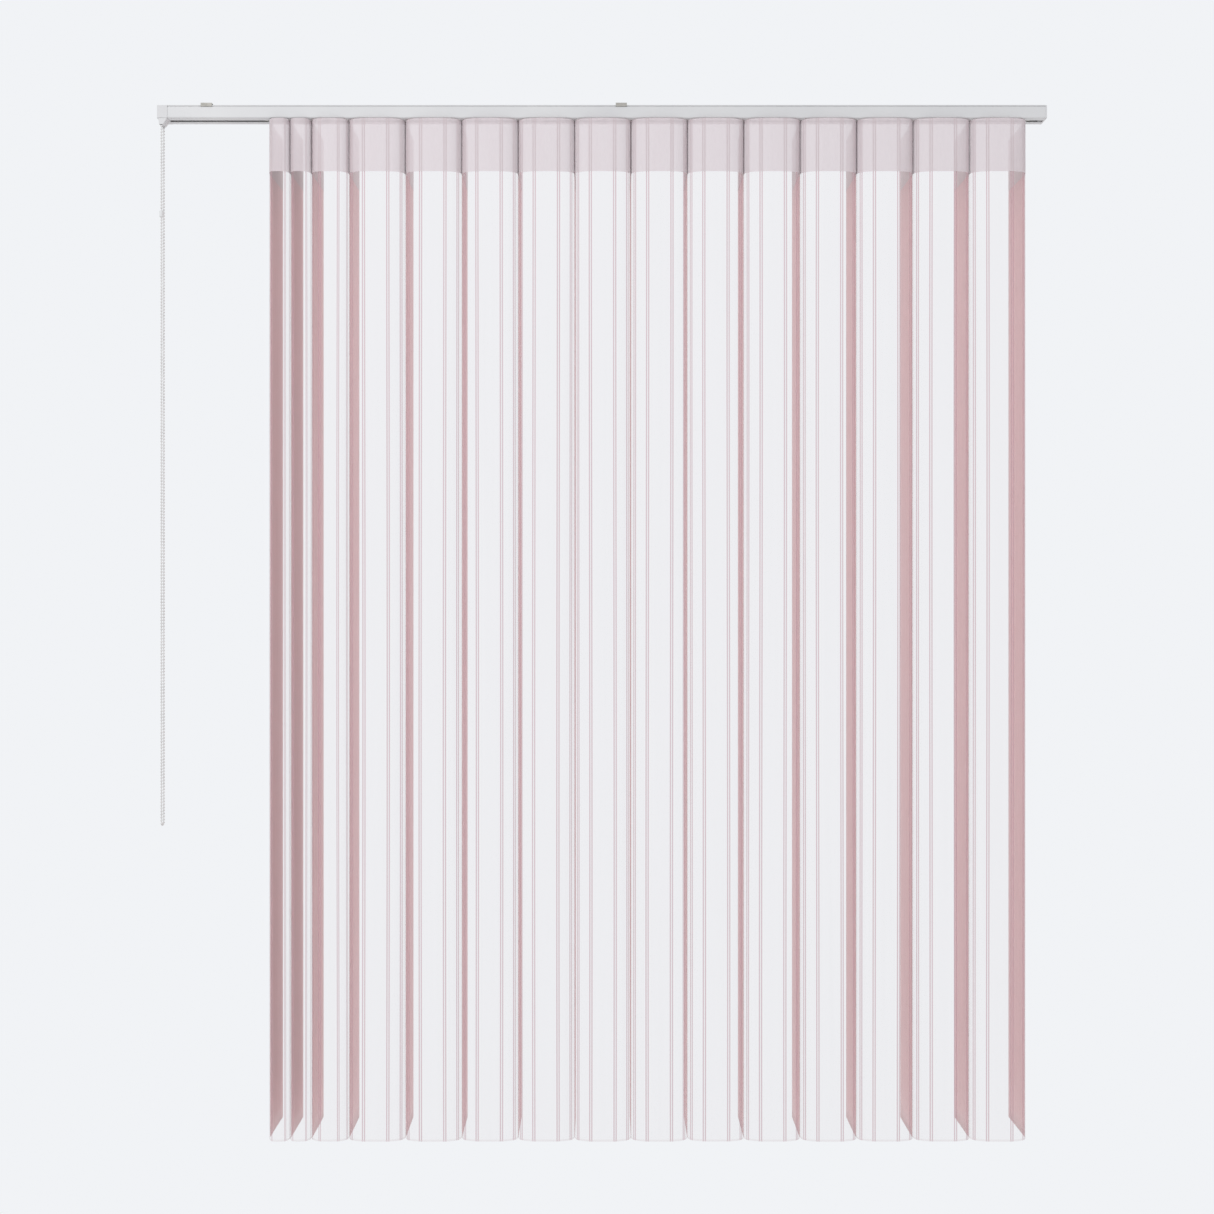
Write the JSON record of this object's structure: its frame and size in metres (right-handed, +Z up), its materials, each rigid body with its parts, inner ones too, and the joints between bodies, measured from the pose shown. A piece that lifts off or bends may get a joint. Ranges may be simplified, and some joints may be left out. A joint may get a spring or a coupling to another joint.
{
  "type": "vertical blind",
  "caption": "Vertical blind on a ceiling-fixed headrail: opaque fabric vanes turn and draw along it, with a voile face folded between them and a bead chain at one end.",
  "frame": {"origin": "midway between the two bracket screw holes, in the plane where the brackets bear on the recess", "axes": "+X right along the headrail, +Y towards the window, +Z up"},
  "size_m": [1.76, 0.1574, 2.052],
  "materials": {
    "rail_paint": "satin white coat",
    "bracket_steel": "zinc plated",
    "white_moulding": "moulded",
    "drawn_aluminium": "drawn",
    "bead_chain": "gloss",
    "draw_cord": "braided",
    "voile": "sheer woven voile with pairs of thicker warp threads",
    "vane_fabric": "opaque plain weave"
  },
  "bodies": {
    "root": {"headrail": "rail_paint", "mounting_brackets": "bracket_steel", "control_end_cap": "white_moulding", "return_end_cap": "white_moulding", "bead_chain": "bead_chain", "chain_connector": "bead_chain", "draw_cord": "draw_cord", "sheer_face": "voile", "carrier_16": "white_moulding"},
    "tilt_drive": {"chain_sprocket": "white_moulding", "tilt_rod": "drawn_aluminium"},
    "drive_pulley": {"drive_pulley": "white_moulding"},
    "return_pulley": {"return_pulley": "white_moulding"},
    "carriage_01": {"carrier_01": "white_moulding"},
    "carriage_02": {"carrier_02": "white_moulding"},
    "carriage_03": {"carrier_03": "white_moulding"},
    "carriage_04": {"carrier_04": "white_moulding"},
    "carriage_05": {"carrier_05": "white_moulding"},
    "carriage_06": {"carrier_06": "white_moulding"},
    "carriage_07": {"carrier_07": "white_moulding"},
    "carriage_08": {"carrier_08": "white_moulding"},
    "carriage_09": {"carrier_09": "white_moulding"},
    "carriage_10": {"carrier_10": "white_moulding"},
    "carriage_11": {"carrier_11": "white_moulding"},
    "carriage_12": {"carrier_12": "white_moulding"},
    "carriage_13": {"carrier_13": "white_moulding"},
    "carriage_14": {"carrier_14": "white_moulding"},
    "carriage_15": {"carrier_15": "white_moulding"},
    "turning_vane_01": {"stem_01": "white_moulding", "vane_01": "vane_fabric"},
    "turning_vane_02": {"stem_02": "white_moulding", "vane_02": "vane_fabric"},
    "turning_vane_03": {"stem_03": "white_moulding", "vane_03": "vane_fabric"},
    "turning_vane_04": {"stem_04": "white_moulding", "vane_04": "vane_fabric"},
    "turning_vane_05": {"stem_05": "white_moulding", "vane_05": "vane_fabric"},
    "turning_vane_06": {"stem_06": "white_moulding", "vane_06": "vane_fabric"},
    "turning_vane_07": {"stem_07": "white_moulding", "vane_07": "vane_fabric"},
    "turning_vane_08": {"stem_08": "white_moulding", "vane_08": "vane_fabric"},
    "turning_vane_09": {"stem_09": "white_moulding", "vane_09": "vane_fabric"},
    "turning_vane_10": {"stem_10": "white_moulding", "vane_10": "vane_fabric"},
    "turning_vane_11": {"stem_11": "white_moulding", "vane_11": "vane_fabric"},
    "turning_vane_12": {"stem_12": "white_moulding", "vane_12": "vane_fabric"},
    "turning_vane_13": {"stem_13": "white_moulding", "vane_13": "vane_fabric"},
    "turning_vane_14": {"stem_14": "white_moulding", "vane_14": "vane_fabric"},
    "turning_vane_15": {"stem_15": "white_moulding", "vane_15": "vane_fabric"},
    "turning_vane_16": {"stem_16": "white_moulding", "vane_16": "vane_fabric"}
  },
  "joints": [
    {"name": "space_15", "type": "slide", "parent": "root", "child": "carriage_15", "axis": [1, 0, 0], "range_m": [0, 0.07], "deforming": ["sheer_face"]},
    {"name": "space_14", "type": "slide", "parent": "carriage_15", "child": "carriage_14", "axis": [1, 0, 0], "range_m": [0, 0.07]},
    {"name": "space_13", "type": "slide", "parent": "carriage_14", "child": "carriage_13", "axis": [1, 0, 0], "range_m": [0, 0.07]},
    {"name": "space_12", "type": "slide", "parent": "carriage_13", "child": "carriage_12", "axis": [1, 0, 0], "range_m": [0, 0.07]},
    {"name": "space_11", "type": "slide", "parent": "carriage_12", "child": "carriage_11", "axis": [1, 0, 0], "range_m": [0, 0.07]},
    {"name": "space_10", "type": "slide", "parent": "carriage_11", "child": "carriage_10", "axis": [1, 0, 0], "range_m": [0, 0.07]},
    {"name": "space_09", "type": "slide", "parent": "carriage_10", "child": "carriage_09", "axis": [1, 0, 0], "range_m": [0, 0.07]},
    {"name": "space_08", "type": "slide", "parent": "carriage_09", "child": "carriage_08", "axis": [1, 0, 0], "range_m": [0, 0.07]},
    {"name": "space_07", "type": "slide", "parent": "carriage_08", "child": "carriage_07", "axis": [1, 0, 0], "range_m": [0, 0.07]},
    {"name": "space_06", "type": "slide", "parent": "carriage_07", "child": "carriage_06", "axis": [1, 0, 0], "range_m": [0, 0.07]},
    {"name": "space_05", "type": "slide", "parent": "carriage_06", "child": "carriage_05", "axis": [1, 0, 0], "range_m": [0, 0.07]},
    {"name": "space_04", "type": "slide", "parent": "carriage_05", "child": "carriage_04", "axis": [1, 0, 0], "range_m": [0, 0.07]},
    {"name": "space_03", "type": "slide", "parent": "carriage_04", "child": "carriage_03", "axis": [1, 0, 0], "range_m": [-0.038, 0.032]},
    {"name": "space_02", "type": "slide", "parent": "carriage_03", "child": "carriage_02", "axis": [1, 0, 0], "range_m": [-0.07, 0]},
    {"name": "space_01", "type": "slide", "parent": "carriage_02", "child": "carriage_01", "axis": [1, 0, 0], "range_m": [-0.07, 0]},
    {"name": "tilt_01", "type": "hinge", "parent": "carriage_01", "child": "turning_vane_01", "pos_m": [-0.2883, 0, -0.038], "axis": [0, 0, 1], "range_deg": [-85, 85]},
    {"name": "tilt_02", "type": "hinge", "parent": "carriage_02", "child": "turning_vane_02", "pos_m": [-0.2463, 0, -0.038], "axis": [0, 0, 1], "range_deg": [-85, 85]},
    {"name": "tilt_03", "type": "hinge", "parent": "carriage_03", "child": "turning_vane_03", "pos_m": [-0.2043, 0, -0.038], "axis": [0, 0, 1], "range_deg": [-85, 85]},
    {"name": "tilt_04", "type": "hinge", "parent": "carriage_04", "child": "turning_vane_04", "pos_m": [-0.1303, 0, -0.038], "axis": [0, 0, 1], "range_deg": [-85, 85]},
    {"name": "tilt_05", "type": "hinge", "parent": "carriage_05", "child": "turning_vane_05", "pos_m": [-0.0183, 0, -0.038], "axis": [0, 0, 1], "range_deg": [-85, 85]},
    {"name": "tilt_06", "type": "hinge", "parent": "carriage_06", "child": "turning_vane_06", "pos_m": [0.0937, 0, -0.038], "axis": [0, 0, 1], "range_deg": [-85, 85]},
    {"name": "tilt_07", "type": "hinge", "parent": "carriage_07", "child": "turning_vane_07", "pos_m": [0.2057, 0, -0.038], "axis": [0, 0, 1], "range_deg": [-85, 85]},
    {"name": "tilt_08", "type": "hinge", "parent": "carriage_08", "child": "turning_vane_08", "pos_m": [0.3177, 0, -0.038], "axis": [0, 0, 1], "range_deg": [-85, 85]},
    {"name": "tilt_09", "type": "hinge", "parent": "carriage_09", "child": "turning_vane_09", "pos_m": [0.4297, 0, -0.038], "axis": [0, 0, 1], "range_deg": [-85, 85]},
    {"name": "tilt_10", "type": "hinge", "parent": "carriage_10", "child": "turning_vane_10", "pos_m": [0.5417, 0, -0.038], "axis": [0, 0, 1], "range_deg": [-85, 85]},
    {"name": "tilt_11", "type": "hinge", "parent": "carriage_11", "child": "turning_vane_11", "pos_m": [0.6537, 0, -0.038], "axis": [0, 0, 1], "range_deg": [-85, 85]},
    {"name": "tilt_12", "type": "hinge", "parent": "carriage_12", "child": "turning_vane_12", "pos_m": [0.7657, 0, -0.038], "axis": [0, 0, 1], "range_deg": [-85, 85]},
    {"name": "tilt_13", "type": "hinge", "parent": "carriage_13", "child": "turning_vane_13", "pos_m": [0.8777, 0, -0.038], "axis": [0, 0, 1], "range_deg": [-85, 85]},
    {"name": "tilt_14", "type": "hinge", "parent": "carriage_14", "child": "turning_vane_14", "pos_m": [0.9897, 0, -0.038], "axis": [0, 0, 1], "range_deg": [-85, 85]},
    {"name": "tilt_15", "type": "hinge", "parent": "carriage_15", "child": "turning_vane_15", "pos_m": [1.1017, 0, -0.038], "axis": [0, 0, 1], "range_deg": [-85, 85]},
    {"name": "tilt_16", "type": "hinge", "parent": "root", "child": "turning_vane_16", "pos_m": [1.2137, 0, -0.038], "axis": [0, 0, 1], "range_deg": [-85, 85]},
    {"name": "rod_turn", "type": "hinge", "parent": "root", "child": "tilt_drive", "pos_m": [-0.4998, -0.0112, -0.017], "axis": [1, 0, 0], "range_deg": [-595, 595]},
    {"name": "return_pulley_turn", "type": "hinge", "parent": "root", "child": "return_pulley", "pos_m": [1.2342, 0, -0.008], "axis": [0, 0, 1], "continuous": true},
    {"name": "drive_pulley_turn", "type": "hinge", "parent": "root", "child": "drive_pulley", "pos_m": [-0.4778, 0, -0.008], "axis": [0, 0, 1], "continuous": true}
  ],
  "couplings": [
    {"joint": "space_14", "follows": "space_15", "ratio": 1},
    {"joint": "space_13", "follows": "space_15", "ratio": 1},
    {"joint": "space_12", "follows": "space_15", "ratio": 1},
    {"joint": "space_11", "follows": "space_15", "ratio": 1},
    {"joint": "space_10", "follows": "space_15", "ratio": 1},
    {"joint": "space_09", "follows": "space_15", "ratio": 1},
    {"joint": "space_08", "follows": "space_15", "ratio": 1},
    {"joint": "space_07", "follows": "space_15", "ratio": 1},
    {"joint": "space_06", "follows": "space_15", "ratio": 1},
    {"joint": "space_05", "follows": "space_15", "ratio": 1},
    {"joint": "space_04", "follows": "space_15", "ratio": 1},
    {"joint": "space_01", "follows": "space_02", "ratio": 1},
    {"joint": "tilt_01", "follows": "tilt_16", "ratio": 1},
    {"joint": "tilt_02", "follows": "tilt_16", "ratio": 1},
    {"joint": "tilt_03", "follows": "tilt_16", "ratio": 1},
    {"joint": "tilt_04", "follows": "tilt_16", "ratio": 1},
    {"joint": "tilt_05", "follows": "tilt_16", "ratio": 1},
    {"joint": "tilt_06", "follows": "tilt_16", "ratio": 1},
    {"joint": "tilt_07", "follows": "tilt_16", "ratio": 1},
    {"joint": "tilt_08", "follows": "tilt_16", "ratio": 1},
    {"joint": "tilt_09", "follows": "tilt_16", "ratio": 1},
    {"joint": "tilt_10", "follows": "tilt_16", "ratio": 1},
    {"joint": "tilt_11", "follows": "tilt_16", "ratio": 1},
    {"joint": "tilt_12", "follows": "tilt_16", "ratio": 1},
    {"joint": "tilt_13", "follows": "tilt_16", "ratio": 1},
    {"joint": "tilt_14", "follows": "tilt_16", "ratio": 1},
    {"joint": "tilt_15", "follows": "tilt_16", "ratio": 1},
    {"joint": "rod_turn", "follows": "tilt_16", "ratio": 7},
    {"joint": "return_pulley_turn", "follows": "drive_pulley_turn", "ratio": 1}
  ]
}
